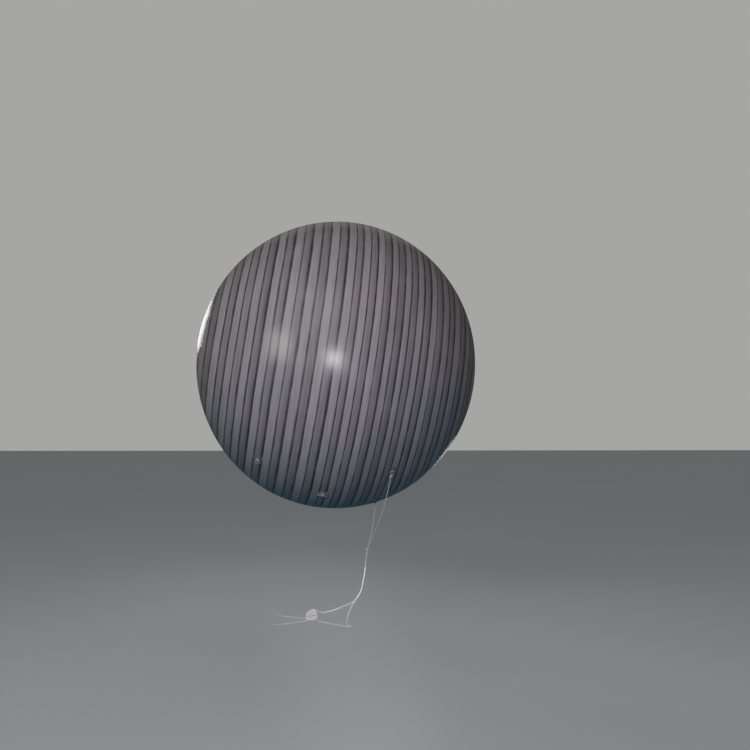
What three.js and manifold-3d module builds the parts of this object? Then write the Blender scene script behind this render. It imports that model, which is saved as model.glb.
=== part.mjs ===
// A round advertising balloon: a film envelope welded from gores, with a filling valve at its bottom pole,
// four tether rings round the valve, and two white cords that run down to a small hank on the floor.
// Millimetres, +Z up, +X to the right and +Y away from the viewer. The origin is the balloon's centre.
import * as THREE from "three";
import { mergeVertices } from "three/addons/utils/BufferGeometryUtils.js";
import Module from "manifold-3d";

const wasm = await Module();
wasm.setup();

const DEGREE = Math.PI / 180;
const GAP = 0.3;

// Envelope: a spheroid a little longer between its poles, as a filled balloon of flat gores is
const EQUATOR_RADIUS = 1000;
const POLE_RADIUS = 1044;
const WALL = 10;
const GORES = 12;
const GORE_COLUMNS = 4;
const GORE_ROWS = 26;
const FIRST_SEAM = 15 * DEGREE;
const DISC_RADIUS = 110;
const DISC_RINGS = 4;
const DISC_SIDES = 48;

// How it hangs: the bottom pole leans towards -Y, the stripe axis (the balloon's own X) dips to the right
const LEAN = -28.9 * DEGREE;
const DIP = 8.2 * DEGREE;
const TURN = 4.5 * DEGREE;
const FLOOR_Z = -1810;

// Filling valve, in a frame with its origin on the film at the bottom pole and +Z out of the balloon
const BORE_RADIUS = 12.5;
const NECK_RADIUS = 16;
const NECK_INNER_END = -22;
const NECK_TOP = 12;
const LIP_RADIUS = 17.5;
const LIP_HEIGHT = 2;
const FLANGE_RADIUS = 38;
const FLANGE_THICKNESS = 2.5;
const CHAMFER = 1;
const VALVE_HOLE_RADIUS = NECK_RADIUS + 0.5;
const HINGE_X = -30;
const HINGE_Z = 8;
const PIN_RADIUS = 1.5;
const BARREL_RADIUS = 3.6;
const BARREL_HALF = 3.8;
const LUG_RADIUS = 4;
const LUG_INNER_Y = 4.4;
const LUG_THICKNESS = 3;
const CAP_RADIUS = 19;
const CAP_THICKNESS = 3.5;
const CAP_EDGE = 0.8;
const PLUG_RADIUS = 11.8;
const PLUG_DEPTH = 6.3;
const ARM_OVERLAP = 3;
const ARM_SHOULDER = 6;
const TAB_LENGTH = 10;
const TAB_THICKNESS = 2.5;
const TAB_OVERLAP = 2;
const TAB_HALF_WIDTH = 6;
const TURNED_SIDES = 32;

// Tether fittings: a round film patch, a strap with an eye, and a flat D-ring in the eye
const PATCH_RADIUS = 40;
const PATCH_THICKNESS = 1.5;
const STRAP_WIDTH = 25;
const STRAP_HALF_LENGTH = 16;
const STRAP_THICKNESS = 1.6;
const STRAP_BASE = GAP + PATCH_THICKNESS + GAP;
const EYE_HEIGHT = 7;
const EYE_INNER = 3.4;
const EYE_OUTER = 5;
const RING_BAR = 4;
const RING_INNER_HALF = 13.5;
const RING_BOW_DROP = 8;
const RING_CORNER = 3;
const BOW_CENTRE = RING_BOW_DROP + RING_INNER_HALF + RING_BAR / 2;

// Cords and knots
const CORD_RADIUS = 2;
const PAIR_RADIUS = 4.2;
const CORD_SIDES = 8;
const HITCH_RADIUS = 5.3;
const HITCH_STEPS = 14;
const HITCH_SPREAD = 2.3;
const TIE_KNOT_RADIUS = 5.5;
const TIE_KNOT_DROP = 9.5;
const UPPER_KNOT_RADIUS = 9;
const LOWER_KNOT_RADIUS = 8;
const KNOT_SIDES = 12;
const KNOT_RINGS = 8;
const LAY_Z = FLOOR_Z + CORD_RADIUS;
const UPPER_KNOT = point(213, -260, -1296);
const LOWER_KNOT = point(118, -240, -1657);

// Hank: a dome over the fanned loops. Columns of its profile: radius, height above the floor
const HANK_CENTRE = point(-170, -45, FLOOR_Z);
const HANK_RADIUS = 44;
const HANK_PROFILE = [
  [0, 0],
  [42, 0],
  [HANK_RADIUS, 3],
  [HANK_RADIUS, 16],
  [40, 32],
  [30, 46],
  [16, 55],
  [0, 58],
];
const HANK_SIDES = 24;
const SLACK_ENTRY = { height: 38, radius: 39.2 };

// Columns: name, azimuth round the valve from the balloon's own +X, and what its ring is pulled towards
const TETHERS = [
  { name: "left_front", azimuth: -164, pulledTo: null },
  { name: "left_back", azimuth: 140, pulledTo: null },
  { name: "right_front", azimuth: -29, pulledTo: point(331, -535, -920) },
  { name: "right_back", azimuth: 34, pulledTo: point(262, -216, -1090) },
];
const TETHER_POLAR = 28 * DEGREE;

const FINISH = {
  film: { color: 0x77757b, roughness: 0.22, metalness: 0 },
  clearFilm: { color: 0xb9bcc0, roughness: 0.2, metalness: 0 },
  webbing: { color: 0x8f9296, roughness: 0.6, metalness: 0 },
  moulding: { color: 0xc8ccd0, roughness: 0.3, metalness: 0 },
  steel: { color: 0xb5b7ba, roughness: 0.25, metalness: 1 },
  cord: { color: 0xdcdfe2, roughness: 0.8, metalness: 0 },
};

function point(x, y, z) {
  return new THREE.Vector3(x, y, z);
}

// Building blocks
function mesh(name, geometry, finish) {
  const made = new THREE.Mesh(geometry, new THREE.MeshStandardMaterial(FINISH[finish]));
  made.name = name;
  return made;
}

function solid(geometry) {
  const bare = geometry.clone();
  bare.deleteAttribute("normal");
  bare.deleteAttribute("uv");
  const merged = mergeVertices(bare, 1e-3);
  return new wasm.Manifold(
    new wasm.Mesh({
      numProp: 3,
      vertProperties: merged.attributes.position.array,
      triVerts: new Uint32Array(merged.index.array),
    }),
  );
}

function geometryOf(body) {
  const made = body.getMesh();
  const geometry = new THREE.BufferGeometry();
  geometry.setAttribute("position", new THREE.BufferAttribute(made.vertProperties, 3));
  geometry.setIndex(new THREE.BufferAttribute(made.triVerts, 1));
  geometry.computeVertexNormals();
  return geometry;
}

function joined(...geometries) {
  return geometryOf(geometries.map(solid).reduce((whole, part) => whole.add(part)));
}

// A solid of revolution about Z. The profile's points are [radius, height], counter-clockwise.
function turned(profile, sides) {
  const points = profile.map(([radius, height]) => new THREE.Vector2(radius, height));
  return new THREE.LatheGeometry(points, sides).rotateX(90 * DEGREE);
}

function turnedRing(profile, sides) {
  return turned([...profile, profile[0]], sides);
}

// An outline in Y and Z, extruded along X about X = 0
function extrudedAlongX(shape, width, curveSegments) {
  const basis = new THREE.Matrix4().makeBasis(point(0, 1, 0), point(0, 0, 1), point(1, 0, 0));
  return new THREE.ExtrudeGeometry(shape, { depth: width, bevelEnabled: false, curveSegments })
    .translate(0, 0, -width / 2)
    .applyMatrix4(basis);
}

// An outline in X and Z, extruded along Y from a first to a second Y
function extrudedAlongY(shape, fromY, toY) {
  return new THREE.ExtrudeGeometry(shape, { depth: toY - fromY, bevelEnabled: false, curveSegments: 8 })
    .rotateX(90 * DEGREE)
    .translate(0, toY, 0);
}

function alongY(radius, halfLength, x, z, sides) {
  return new THREE.CylinderGeometry(radius, radius, 2 * halfLength, sides).translate(x, 0, z);
}

// A curved panel: a grid of points on its outer face and as many on its inner face, closed by four edges.
// pointAt takes the share across, the share up and the depth from 0, outside, to 1, inside.
function curvedPanel(columns, rows, pointAt) {
  const positions = [];
  const index = [];
  const width = columns + 1;
  const inner = width * (rows + 1);
  const quad = (a, b, c, d) => index.push(a, b, c, a, c, d);
  for (const depth of [0, 1])
    for (let row = 0; row <= rows; row++)
      for (let column = 0; column <= columns; column++)
        positions.push(...pointAt(column / columns, row / rows, depth).toArray());
  for (let row = 0; row < rows; row++)
    for (let column = 0; column < columns; column++) {
      const a = row * width + column;
      quad(a, a + 1, a + 1 + width, a + width);
      quad(inner + a, inner + a + width, inner + a + 1 + width, inner + a + 1);
    }
  for (let column = 0; column < columns; column++) {
    const top = rows * width + column;
    quad(inner + column, inner + column + 1, column + 1, column);
    quad(top, top + 1, inner + top + 1, inner + top);
  }
  for (let row = 0; row < rows; row++) {
    const west = row * width;
    const east = west + columns;
    quad(west, west + width, inner + west + width, inner + west);
    quad(inner + east, inner + east + width, east + width, east);
  }
  const geometry = new THREE.BufferGeometry();
  geometry.setAttribute("position", new THREE.Float32BufferAttribute(positions, 3));
  geometry.setIndex(index);
  geometry.computeVertexNormals();
  return geometry;
}

// Envelope surface: polar is 0 at the crown, and depth is how far inside the film the point lies
function envelopeNormal(azimuth, polar) {
  const across = Math.sin(polar) / EQUATOR_RADIUS;
  const up = Math.cos(polar) / POLE_RADIUS;
  return point(across * Math.cos(azimuth), across * Math.sin(azimuth), up).normalize();
}

function envelopePoint(azimuth, polar, depth) {
  const across = EQUATOR_RADIUS * Math.sin(polar);
  const up = POLE_RADIUS * Math.cos(polar);
  return point(across * Math.cos(azimuth), across * Math.sin(azimuth), up).addScaledVector(
    envelopeNormal(azimuth, polar),
    -depth,
  );
}

function gore(number) {
  const first = FIRST_SEAM + (number * 2 * Math.PI) / GORES;
  const span = (2 * Math.PI) / GORES;
  const polarEdge = Math.asin(DISC_RADIUS / EQUATOR_RADIUS);
  return curvedPanel(GORE_COLUMNS, GORE_ROWS, (across, up, inside) => {
    const polar = Math.PI - polarEdge - up * (Math.PI - 2 * polarEdge);
    const seamAngle = GAP / 2 / (EQUATOR_RADIUS * Math.sin(polar));
    const azimuth = first + seamAngle + across * (span - 2 * seamAngle);
    return envelopePoint(azimuth, polar, inside * WALL);
  });
}

// Pole disc of film over the gores' ends, in a frame at the pole with +Z out. With a hole radius of 0 it is
// whole.
function poleDisc(holeRadius) {
  const outerFace = [];
  const innerFace = [];
  for (let step = 0; step <= DISC_RINGS; step++) {
    const radius = holeRadius + ((DISC_RADIUS - GAP - holeRadius) * step) / DISC_RINGS;
    const polar = Math.asin(radius / EQUATOR_RADIUS);
    const outer = envelopePoint(0, polar, 0);
    const inner = envelopePoint(0, polar, WALL);
    outerFace.unshift([outer.x, outer.z - POLE_RADIUS]);
    innerFace.push([inner.x, inner.z - POLE_RADIUS]);
  }
  const profile = [...innerFace, ...outerFace];
  return holeRadius > 0 ? turnedRing(profile, DISC_SIDES) : turned(profile, DISC_SIDES);
}

// Valve: a round flange and neck with two lugs and a hinge pin
function valveBody() {
  const flangeTop = GAP + FLANGE_THICKNESS;
  const barrelOfBody = turnedRing(
    [
      [BORE_RADIUS, NECK_INNER_END],
      [NECK_RADIUS, NECK_INNER_END],
      [NECK_RADIUS, GAP],
      [FLANGE_RADIUS, GAP],
      [FLANGE_RADIUS, flangeTop - CHAMFER],
      [FLANGE_RADIUS - CHAMFER, flangeTop],
      [NECK_RADIUS + CHAMFER, flangeTop],
      [NECK_RADIUS, flangeTop + CHAMFER],
      [NECK_RADIUS, NECK_TOP - LIP_HEIGHT - CHAMFER],
      [LIP_RADIUS, NECK_TOP - LIP_HEIGHT],
      [LIP_RADIUS, NECK_TOP],
      [BORE_RADIUS, NECK_TOP],
    ],
    TURNED_SIDES,
  );
  const lugOutline = new THREE.Shape();
  lugOutline.moveTo(HINGE_X - LUG_RADIUS, flangeTop - CHAMFER);
  lugOutline.lineTo(HINGE_X + LUG_RADIUS, flangeTop - CHAMFER);
  lugOutline.lineTo(HINGE_X + LUG_RADIUS, HINGE_Z);
  lugOutline.absarc(HINGE_X, HINGE_Z, LUG_RADIUS, 0, Math.PI, false);
  lugOutline.closePath();
  const lugOuterY = LUG_INNER_Y + LUG_THICKNESS;
  return joined(
    barrelOfBody,
    extrudedAlongY(lugOutline, LUG_INNER_Y, lugOuterY),
    extrudedAlongY(lugOutline, -lugOuterY, -LUG_INNER_Y),
    alongY(PIN_RADIUS, lugOuterY, HINGE_X, HINGE_Z, 12),
  );
}

// Cap: a lid with a plug and a pull tab, on an arm with a barrel; its origin is the hinge axis
function valveCap() {
  const under = NECK_TOP + GAP - HINGE_Z;
  const top = under + CAP_THICKNESS;
  const plugEnd = under - PLUG_DEPTH;
  const lid = turned(
    [
      [0, plugEnd],
      [PLUG_RADIUS - CHAMFER, plugEnd],
      [PLUG_RADIUS, plugEnd + CHAMFER],
      [PLUG_RADIUS, under],
      [CAP_RADIUS, under],
      [CAP_RADIUS, top - CAP_EDGE],
      [CAP_RADIUS - CAP_EDGE, top],
      [0, top],
    ],
    TURNED_SIDES,
  ).translate(-HINGE_X, 0, 0);
  const armEnd = -HINGE_X - CAP_RADIUS + ARM_OVERLAP;
  const armOutline = new THREE.Shape([
    new THREE.Vector2(-BARREL_RADIUS, 0),
    new THREE.Vector2(BARREL_RADIUS, 0),
    new THREE.Vector2(BARREL_RADIUS + CHAMFER, under),
    new THREE.Vector2(armEnd, under),
    new THREE.Vector2(armEnd, top - CAP_EDGE),
    new THREE.Vector2(ARM_SHOULDER, top - CAP_EDGE),
    new THREE.Vector2(0, BARREL_RADIUS + CAP_EDGE),
    new THREE.Vector2(-BARREL_RADIUS, CHAMFER),
  ]);
  const tab = new THREE.BoxGeometry(TAB_LENGTH + TAB_OVERLAP, 2 * TAB_HALF_WIDTH, TAB_THICKNESS).translate(
    -HINGE_X + CAP_RADIUS + (TAB_LENGTH - TAB_OVERLAP) / 2,
    0,
    under + TAB_THICKNESS / 2,
  );
  const whole = [
    extrudedAlongY(armOutline, -BARREL_HALF, BARREL_HALF),
    alongY(BARREL_RADIUS, BARREL_HALF, 0, 0, 16),
    lid,
    tab,
  ]
    .map(solid)
    .reduce((sum, part) => sum.add(part));
  return geometryOf(whole.subtract(solid(alongY(PIN_RADIUS + GAP, 2 * BARREL_HALF, 0, 0, 12))));
}

// Tether patch: a thin round of film that follows the envelope
function patch() {
  const bend = (radius) => -(radius * radius) / (2 * EQUATOR_RADIUS);
  const radii = [0, PATCH_RADIUS / 2, PATCH_RADIUS];
  const under = radii.map((radius) => [radius, GAP + bend(radius)]);
  const over = radii.map((radius) => [radius, GAP + PATCH_THICKNESS + bend(radius)]).reverse();
  return turned([...under, ...over], TURNED_SIDES);
}

// Strap: a foot plate with an eye across it, along X
function strap() {
  const plateTop = STRAP_BASE + STRAP_THICKNESS;
  const meet = Math.asin((EYE_HEIGHT - plateTop) / EYE_OUTER);
  const outline = new THREE.Shape();
  outline.moveTo(-STRAP_HALF_LENGTH, STRAP_BASE);
  outline.lineTo(STRAP_HALF_LENGTH, STRAP_BASE);
  outline.lineTo(STRAP_HALF_LENGTH, plateTop);
  outline.absarc(0, EYE_HEIGHT, EYE_OUTER, -meet, Math.PI + meet, false);
  outline.lineTo(-STRAP_HALF_LENGTH, plateTop);
  outline.closePath();
  const eye = new THREE.Path();
  eye.absarc(0, EYE_HEIGHT, EYE_INNER, 0, 2 * Math.PI, true);
  outline.holes.push(eye);
  return extrudedAlongX(outline, STRAP_WIDTH, 8);
}

// D-ring: its straight bar lies along X through the origin and its bow hangs towards -Y
function ring() {
  const half = RING_BAR / 2;
  const outerHalf = RING_INNER_HALF + RING_BAR;
  const outline = new THREE.Shape();
  outline.moveTo(outerHalf, -RING_BOW_DROP);
  outline.lineTo(outerHalf, half - RING_CORNER);
  outline.absarc(outerHalf - RING_CORNER, half - RING_CORNER, RING_CORNER, 0, Math.PI / 2, false);
  outline.absarc(RING_CORNER - outerHalf, half - RING_CORNER, RING_CORNER, Math.PI / 2, Math.PI, false);
  outline.absarc(0, -RING_BOW_DROP, outerHalf, Math.PI, 2 * Math.PI, false);
  const inside = new THREE.Path();
  inside.moveTo(RING_INNER_HALF, -half);
  inside.lineTo(-RING_INNER_HALF, -half);
  inside.absarc(0, -RING_BOW_DROP, RING_INNER_HALF, Math.PI, 2 * Math.PI, false);
  inside.closePath();
  outline.holes.push(inside);
  const settings = { depth: RING_BAR, bevelEnabled: false, curveSegments: 8 };
  return new THREE.ExtrudeGeometry(outline, settings).translate(0, 0, -half);
}

// Hitch on a D-ring's bow: two turns round the bow and a knot under it, in the ring's frame
function hitch() {
  const turn = (x) =>
    new THREE.TorusGeometry(HITCH_RADIUS, CORD_RADIUS, CORD_SIDES, HITCH_STEPS)
      .rotateY(90 * DEGREE)
      .translate(x, -BOW_CENTRE, 0);
  const tie = knot(point(0, -BOW_CENTRE - TIE_KNOT_DROP, 0), TIE_KNOT_RADIUS);
  return joined(turn(-HITCH_SPREAD), turn(HITCH_SPREAD), tie);
}

function knot(centre, radius) {
  return new THREE.SphereGeometry(radius, KNOT_SIDES, KNOT_RINGS).translate(centre.x, centre.y, centre.z);
}

// Cord: a tube of eight sides along a smooth curve through its points
function cord(points, radius, steps) {
  const corners = [];
  for (let side = 0; side < CORD_SIDES; side++) {
    const angle = ((side + 0.5) * 2 * Math.PI) / CORD_SIDES;
    corners.push(new THREE.Vector2(radius * Math.cos(angle), radius * Math.sin(angle)));
  }
  const extrudePath = new THREE.CatmullRomCurve3(points, false, "centripetal");
  return new THREE.ExtrudeGeometry(new THREE.Shape(corners), { steps, extrudePath, bevelEnabled: false });
}

// An end of a cord: each takes the cord's next point and gives the point where the cord starts or stops.
// On a round knot and on the hank that is just outside, on the side that the cord comes from.
function onKnot(centre, radius) {
  return (next) => next.clone().sub(centre).setLength(radius + GAP).add(centre);
}

function onHank(height, radius) {
  return (next) => {
    const centre = HANK_CENTRE.clone().setZ(height);
    return next.clone().setZ(height).sub(centre).setLength(radius + GAP).add(centre);
  };
}

// Assembly of the balloon in its own frame, then its lean
const balloon = new THREE.Group();
balloon.rotation.set(LEAN, DIP, TURN, "ZYX");
for (let number = 0; number < GORES; number++)
  balloon.add(mesh(`gore_${String(number + 1).padStart(2, "0")}`, gore(number), "film"));

const crown = new THREE.Group();
crown.position.z = POLE_RADIUS;
crown.add(mesh("crown_disc", poleDisc(0), "film"));

const base = new THREE.Group();
base.position.z = -POLE_RADIUS;
base.rotation.x = Math.PI;
base.add(mesh("base_disc", poleDisc(VALVE_HOLE_RADIUS), "film"));
base.add(mesh("valve_body", valveBody(), "moulding"));
const cap = mesh("valve_cap", valveCap(), "moulding");
cap.position.set(HINGE_X, 0, HINGE_Z);
base.add(cap);
balloon.add(crown, base);

const part = new THREE.Group();
part.add(balloon);
part.updateMatrixWorld(true);

// Tether fittings: +Z out of the film, and X, the eye's axis, across the pull, so that the ring lies along it
function tether({ name, azimuth, pulledTo }) {
  const polar = Math.PI - TETHER_POLAR;
  const foot = envelopePoint(azimuth * DEGREE, polar, 0).applyMatrix4(balloon.matrixWorld);
  const out = envelopeNormal(azimuth * DEGREE, polar).transformDirection(balloon.matrixWorld);
  const eye = foot.clone().addScaledVector(out, EYE_HEIGHT);
  const pull = pulledTo ? pulledTo.clone().sub(eye).normalize() : point(0, 0, -1);
  const across = pull.clone().cross(out).normalize();
  const fitting = new THREE.Group();
  fitting.applyMatrix4(
    new THREE.Matrix4().makeBasis(across, out.clone().cross(across), out).setPosition(foot),
  );
  fitting.add(mesh(`patch_${name}`, patch(), "clearFilm"), mesh(`strap_${name}`, strap(), "webbing"));
  const hanging = new THREE.Group();
  const back = pull.clone().negate();
  const side = across.clone().cross(back);
  hanging.applyMatrix4(new THREE.Matrix4().makeBasis(across, back, side).setPosition(eye));
  hanging.add(mesh(`d_ring_${name}`, ring(), "steel"));
  if (pulledTo) hanging.add(mesh(`hitch_${name}`, hitch(), "cord"));
  part.add(fitting, hanging);
  const knotBottom = BOW_CENTRE + TIE_KNOT_DROP + TIE_KNOT_RADIUS + GAP;
  return eye.clone().addScaledVector(pull, knotBottom);
}

const [, , frontExit, backExit] = TETHERS.map(tether);

// Cords: one starts under each hitch, both join at the upper knot and part again at the lower one.
// Columns: node name, radius, steps, the cord's start, its points on the way, and its stop.
// A start or stop is a function of the nearest point, and null is a free end at that point.
const upper = onKnot(UPPER_KNOT, UPPER_KNOT_RADIUS);
const lower = onKnot(LOWER_KNOT, LOWER_KNOT_RADIUS);
const hankFoot = onHank(LAY_Z, HANK_RADIUS);
const CORDS = [
  {
    name: "cord_right_front",
    radius: CORD_RADIUS,
    steps: 12,
    start: () => frontExit,
    way: [point(331, -535, -920), point(307, -474, -1015), point(262, -385, -1155), point(238, -322, -1228)],
    stop: upper,
  },
  {
    name: "cord_right_back",
    radius: CORD_RADIUS,
    steps: 7,
    start: () => backExit,
    way: [point(262, -216, -1090), point(248, -232, -1160), point(231, -248, -1232)],
    stop: upper,
  },
  {
    name: "cord_pair",
    radius: PAIR_RADIUS,
    steps: 8,
    start: upper,
    way: [point(200, -252, -1400), point(187, -249, -1500), point(166, -245, -1588)],
    stop: lower,
  },
  {
    name: "cord_floor_run",
    radius: CORD_RADIUS,
    steps: 25,
    start: lower,
    way: [
      point(98, -242, -1700),
      point(80, -246, -1745),
      point(72, -252, -1780),
      point(72, -260, -1801),
      point(84, -268, LAY_Z),
      point(101, -276, LAY_Z),
      point(109, -288, LAY_Z),
      point(96, -298, LAY_Z),
      point(60, -284, LAY_Z),
      point(14, -243, LAY_Z),
      point(-38, -200, LAY_Z),
      point(-92, -150, LAY_Z),
      point(-122, -107, LAY_Z),
    ],
    stop: hankFoot,
  },
  {
    name: "cord_slack_run",
    radius: CORD_RADIUS,
    steps: 8,
    start: lower,
    way: [point(92, -226, -1669), point(36, -190, -1700), point(-30, -144, -1733), point(-92, -100, -1759)],
    stop: onHank(FLOOR_Z + SLACK_ENTRY.height, SLACK_ENTRY.radius),
  },
  {
    name: "cord_long_tail",
    radius: CORD_RADIUS,
    steps: 12,
    start: hankFoot,
    way: [
      point(-232, -16, LAY_Z),
      point(-290, 4, LAY_Z),
      point(-350, 24, LAY_Z),
      point(-396, 62, LAY_Z),
      point(-424, 118, LAY_Z),
      point(-452, 186, LAY_Z),
      point(-496, 276, LAY_Z),
    ],
    stop: null,
  },
  {
    name: "cord_short_tail",
    radius: CORD_RADIUS,
    steps: 8,
    start: hankFoot,
    way: [
      point(-200, -108, LAY_Z),
      point(-250, -152, LAY_Z),
      point(-320, -186, LAY_Z),
      point(-380, -206, LAY_Z),
      point(-430, -217, LAY_Z),
    ],
    stop: null,
  },
];
for (const { name, radius, steps, start, way, stop } of CORDS) {
  const route = [start(way[0]), ...way];
  if (stop) route.push(stop(way[way.length - 1]));
  part.add(mesh(name, cord(route, radius, steps), "cord"));
}

const hank = turned(HANK_PROFILE, HANK_SIDES).translate(HANK_CENTRE.x, HANK_CENTRE.y, HANK_CENTRE.z);
part.add(
  mesh("upper_knot", knot(UPPER_KNOT, UPPER_KNOT_RADIUS), "cord"),
  mesh("lower_knot", knot(LOWER_KNOT, LOWER_KNOT_RADIUS), "cord"),
  mesh("hank", hank, "cord"),
);

export default part;
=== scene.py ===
"""Round advertising balloon of printed film, with its filling valve, four tether rings and two white cords.

Metres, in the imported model's frame, the row frame: +X to the right, +Y away from the viewer, +Z up. The
balloon's own frame has its origin at its centre and its Z axis through the poles, and is then leaned.
"""

import math

import bpy
import numpy as np
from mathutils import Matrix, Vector


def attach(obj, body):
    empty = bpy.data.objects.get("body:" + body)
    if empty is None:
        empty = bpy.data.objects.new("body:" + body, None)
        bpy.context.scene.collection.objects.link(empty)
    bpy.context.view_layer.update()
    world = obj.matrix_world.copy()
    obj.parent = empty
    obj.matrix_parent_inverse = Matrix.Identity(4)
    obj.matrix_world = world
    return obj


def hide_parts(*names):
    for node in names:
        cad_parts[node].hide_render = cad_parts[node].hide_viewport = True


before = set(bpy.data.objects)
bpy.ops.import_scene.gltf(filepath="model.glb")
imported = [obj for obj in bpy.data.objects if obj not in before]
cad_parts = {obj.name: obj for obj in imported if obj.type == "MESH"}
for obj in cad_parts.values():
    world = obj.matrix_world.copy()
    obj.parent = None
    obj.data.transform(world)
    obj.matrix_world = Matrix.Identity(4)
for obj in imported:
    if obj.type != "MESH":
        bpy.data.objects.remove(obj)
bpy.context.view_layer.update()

bl_info = {
    "name": "Round advertising balloon",
    "version": (1, 0, 0),
    "blender": (4, 5, 0),
    "location": "View3D > Sidebar > Balloon",
    "description": "Dresses a packed round balloon in printed film, fittings and cords",
    "category": "Add Mesh",
}

MM = 0.001
UP = np.array([0.0, 0.0, 1.0])

# The envelope and the floor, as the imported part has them, and the lean's turns about X, Y and Z
EQUATOR_RADIUS = 1.0
POLE_RADIUS = 1.044
WALL = 0.010
GORES = 12
GORE_SPAN = 2 * math.pi / GORES
FIRST_SEAM = math.radians(15)
DISC_RADIUS = 0.110
POLE_EDGE = math.asin(DISC_RADIUS / EQUATOR_RADIUS)
VALVE_HOLE = 0.0165
LEAN, DIP, TURN = (math.radians(angle) for angle in (-28.9, 8.2, 4.5))
FLOOR_Z = -1.810

# The tether fittings' angle from the crown, the height of a strap's eye over the film, and how far from the
# eye the middle of the ring's bow and the hitch's lower end lie
TETHER_POLAR = math.pi - math.radians(28)
EYE_HEIGHT = 0.007
BOW_CENTRE = 0.0235
KNOT_BOTTOM = 0.0388

# The fittings' azimuth round the valve in degrees, and the point that the ring is pulled towards, in mm
TETHERS = {
    "left_front": (-164, None),
    "left_back": (140, None),
    "right_front": (-29, (331, -535, -920)),
    "right_back": (34, (262, -216, -1090)),
}

# Radii of a knot's strand and of a ring's wire in mm, and the step between a cord's points in metres
STRAND_RADIUS = 2.0
WIRE_RADIUS = 2.0
CORD_STEP = 0.002

# Height in mm of a cord that lies on the floor
LAY_Z = -1808


def laid(*places):
    """Points of a cord on the floor, from their X and Y."""
    return [(x, y, LAY_Z) for x, y in places]


# Cord routes in mm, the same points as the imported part's
UPPER_KNOT = (213, -260, -1296)
LOWER_KNOT = (118, -240, -1657)
FRONT_DROP = [(331, -535, -920), (307, -474, -1015), (262, -385, -1155), (238, -322, -1228)]
BACK_DROP = [(262, -216, -1090), (248, -232, -1160), (231, -248, -1232)]
PAIR_RUN = [UPPER_KNOT, (200, -252, -1400), (187, -249, -1500), (166, -245, -1588), LOWER_KNOT]
FLOOR_RUN = [(98, -242, -1700), (80, -246, -1745), (72, -252, -1780), (72, -260, -1801)]
FLOOR_RUN += laid((84, -268), (101, -276), (109, -288), (96, -298), (60, -284), (14, -243), (-38, -200))
FLOOR_RUN += laid((-92, -150), (-122, -107), (-131, -70))
SLACK_RUN = [(92, -226, -1669), (36, -190, -1700), (-30, -144, -1733), (-92, -98, -1755)]
LONG_TAIL = laid((-232, -14), (-290, 4), (-350, 24), (-396, 62), (-424, 118), (-452, 186), (-496, 276))
SHORT_TAIL = laid((-198, -86), (-207, -113), (-250, -152), (-320, -186), (-380, -206), (-430, -217))

# The hank: turns hinged on a line at the front, each a little steeper than the one under it. Its centre and
# first radius in mm, and the level direction from the hinge to the back
HANK_CENTRE = (-170, -45)
HANK_RADIUS = 38
HANK_BACK = np.array([0.576, 0.817, 0.0])

# A row for each turn: tilt in degrees, radius, and how far the strand at the hinge lies behind and above the
# first, in mm. Then the turns at which each cord comes in and goes out
HANK_FLAT_TURNS = [(0, 38, 0, 0), (0, 38, 0, 0), (10, 37, 4, 0), (20, 39, 2, 3.6), (27, 37, 6, 3.6),
                   (14, 38, -4, 0), (0, 37, -4, 0)]
HANK_STEEP_TURNS = [(43, 39, 0, 7), (43, 39, 0, 7), (38, 37, 4, 7), (33, 39, 8, 3.6), (27, 37, -2, 3.6),
                    (3, 39, -6, 0)]
FLAT_TURNS = (0.381, 5.598)
STEEP_TURNS = (0.47, 4.903)


def length_setting(name, description, default):
    """A size in metres that the sidebar shows."""
    return bpy.props.FloatProperty(
        name=name, description=description, default=default, min=0, unit="LENGTH", precision=5
    )


def share_setting(name, description, default, most=1.0):
    """A plain number from nought upwards."""
    return bpy.props.FloatProperty(name=name, description=description, default=default, min=0, max=most)


def power_setting(name, which, default):
    """The power of a light."""
    return share_setting(f"{name} light", f"Power of the {which}", default, 5000)


def colour_setting(name, what, default):
    """A linear colour."""
    return bpy.props.FloatVectorProperty(
        name=name, description=f"Colour of {what}", default=default, subtype="COLOR", size=3, min=0, max=1
    )


class BALLOON_PG_film(bpy.types.PropertyGroup):
    """The film's shape and its print of boards."""

    bulge: length_setting("Bulge", "How far a gore's middle stands out from its seams", 0.0012)
    pucker: length_setting("Pucker", "Depth of the ripples beside a weld", 0.00025)
    board_width: length_setting("Board width", "Mean width of a printed board", 0.0517)
    joint_width: length_setting("Joint width", "Half width of the dark line between boards", 0.0074)
    light_board: colour_setting("Light board", "every second board", (0.374, 0.364, 0.404))
    dark_board: colour_setting("Dark board", "the boards between", (0.266, 0.256, 0.283))
    joint: colour_setting("Joint", "the line between boards", (0.058, 0.054, 0.066))
    cool: colour_setting("Cool clouds", "the cooler clouds, over the print's own", (0.93, 1.0, 1.0))
    roughness: share_setting("Roughness", "Roughness of the printed film", 0.25)


class BALLOON_PG_fittings(bpy.types.PropertyGroup):
    """Patches, straps, rings and the valve."""

    patch_thickness: length_setting("Patch thickness", "Height of a patch over the film", 0.0012)
    patch_cover: share_setting("Patch cover", "How much a patch hides of the print", 0.22)
    patch: colour_setting("Patch", "the clear film", (0.40, 0.42, 0.44))
    strap: colour_setting("Strap", "the webbing", (0.42, 0.44, 0.47))
    steel: colour_setting("Steel", "the rings", (0.60, 0.61, 0.63))
    moulding: colour_setting("Moulding", "the valve", (0.34, 0.38, 0.40))


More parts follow.
